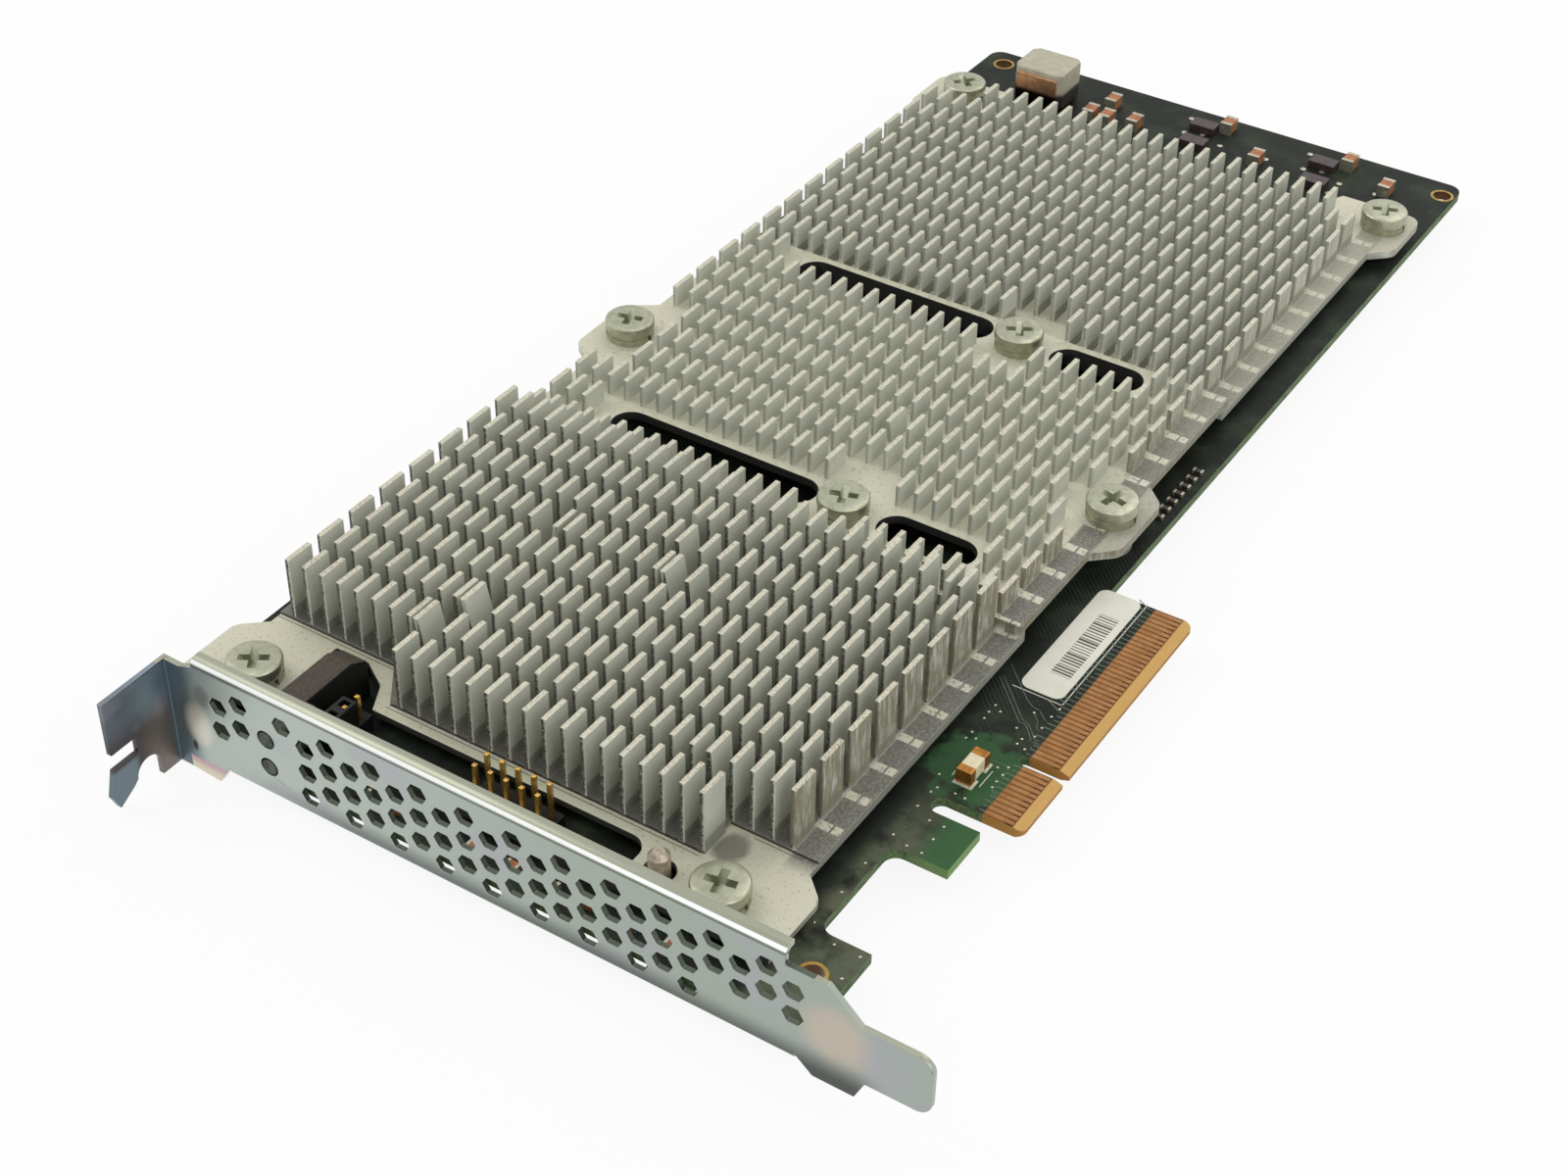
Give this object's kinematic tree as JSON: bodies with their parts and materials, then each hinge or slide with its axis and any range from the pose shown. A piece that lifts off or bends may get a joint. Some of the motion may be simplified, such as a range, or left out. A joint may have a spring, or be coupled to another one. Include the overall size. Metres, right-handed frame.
{
  "type": "flash cache card",
  "caption": "full-height expansion card with a cast pin-fin heat sink over its board, a vented end bracket and a keyed edge connector with gold contacts",
  "frame": {"origin": "lower edge of the edge connector at the middle of its key notch, on the component face", "axes": "+X out of the edge connector, +Y along the card away from the bracket, +Z out of the component face"},
  "size_m": [0.1259, 0.2524, 0.0206],
  "materials": {
    "solder_mask": "green solder mask over glass epoxy",
    "contact_gold": "gold-plated copper",
    "cast_aluminium": "cast and saw-cut, matte with fine pits",
    "zinc_steel": "nickel-plated steel",
    "bracket_steel": "zinc-plated sheet steel",
    "black_plastic": "moulded black plastic",
    "clear_plastic": "clear moulded plastic",
    "ferrite": "grey coated ferrite",
    "copper": "tinned copper strap",
    "ceramic": "white ceramic",
    "label_film": "white printed film",
    "chip_epoxy": "black moulded epoxy",
    "thermal_pad": "soft gap filler",
    "capacitor_tan": "tan ceramic",
    "choke_dark": "dark moulded body"
  },
  "bodies": {
    "root": {"circuit_board": "solder_mask", "edge_contacts": "contact_gold", "heat_sink": "cast_aluminium", "heat_sink_screws": "zinc_steel", "lock_washers": "zinc_steel", "board_nuts": "zinc_steel", "locating_pin": "zinc_steel", "bracket": "bracket_steel", "lamp_housing": "black_plastic", "light_pipes": "clear_plastic", "test_header": "black_plastic", "test_header_pins": "contact_gold", "jumper_header": "black_plastic", "jumper_pins": "contact_gold", "jumper_shunt": "black_plastic", "power_inductor": "ferrite", "inductor_terminals": "copper", "fuse_body": "ceramic", "fuse_caps": "contact_gold", "label": "label_film", "controller_chip": "chip_epoxy", "controller_pad": "thermal_pad", "memory_chips": "chip_epoxy", "flash_chips": "chip_epoxy", "flash_pads": "thermal_pad", "back_flash_chips": "chip_epoxy", "rear_capacitors": "capacitor_tan", "rear_chokes": "choke_dark", "side_chip_parts": "capacitor_tan", "front_chip_parts": "capacitor_tan"}
  },
  "joints": []
}
